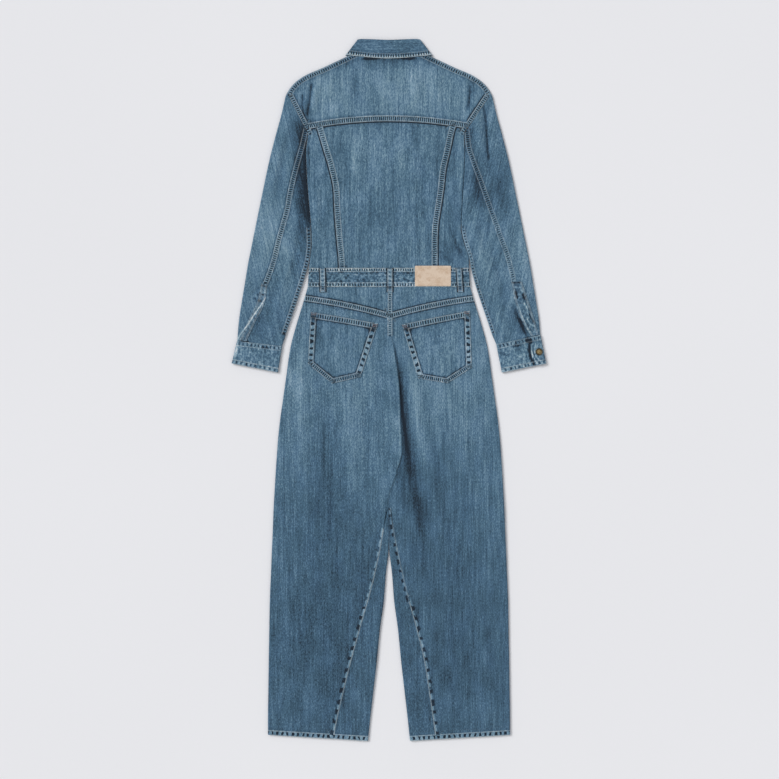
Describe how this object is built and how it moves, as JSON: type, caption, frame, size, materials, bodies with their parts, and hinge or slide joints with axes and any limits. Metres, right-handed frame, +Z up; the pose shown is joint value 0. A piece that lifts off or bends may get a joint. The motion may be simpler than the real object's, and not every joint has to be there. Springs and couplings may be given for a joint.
{
  "type": "long-sleeved denim jumpsuit laid flat",
  "caption": "Long-sleeved denim jumpsuit laid flat on its front, with back yoke, princess seams, waistband, back pockets, plain patch and straight wide legs.",
  "frame": {"origin": "on the surface it lies on, under the middle of its width and its length", "axes": "+X to the wearer's right as the back is seen from above, +Y towards the collar, +Z up from the surface, out of the garment's back"},
  "size_m": [0.676, 1.5072, 0.0106],
  "materials": {
    "denim": "washed indigo twill with paler, roped edges and tan topstitching",
    "leather": "pale smooth leather, unprinted",
    "brass": "aged brass"
  },
  "bodies": {
    "root": {"collar": "denim", "back_yoke": "denim", "centre_back": "denim", "waistband": "denim", "side_back_left": "denim", "bodice_front_left": "denim", "sleeve_top_left": "denim", "sleeve_under_left": "denim", "sleeve_placket_left": "denim", "cuff_left": "denim", "hip_yoke_left": "denim", "leg_back_left": "denim", "leg_front_left": "denim", "back_pocket_left": "denim", "side_back_right": "denim", "bodice_front_right": "denim", "sleeve_top_right": "denim", "sleeve_under_right": "denim", "sleeve_placket_right": "denim", "cuff_right": "denim", "hip_yoke_right": "denim", "leg_back_right": "denim", "leg_front_right": "denim", "back_pocket_right": "denim", "front_placket": "denim", "fly_strip": "denim", "belt_loop_1": "denim", "belt_loop_2": "denim", "belt_loop_3": "denim", "belt_loop_4": "denim", "belt_loop_5": "denim", "back_patch": "leather", "front_button_1": "brass", "front_button_2": "brass", "front_button_3": "brass", "front_button_4": "brass", "front_button_5": "brass", "waist_button": "brass", "cuff_button_left": "brass", "cuff_button_right": "brass"}
  },
  "joints": []
}
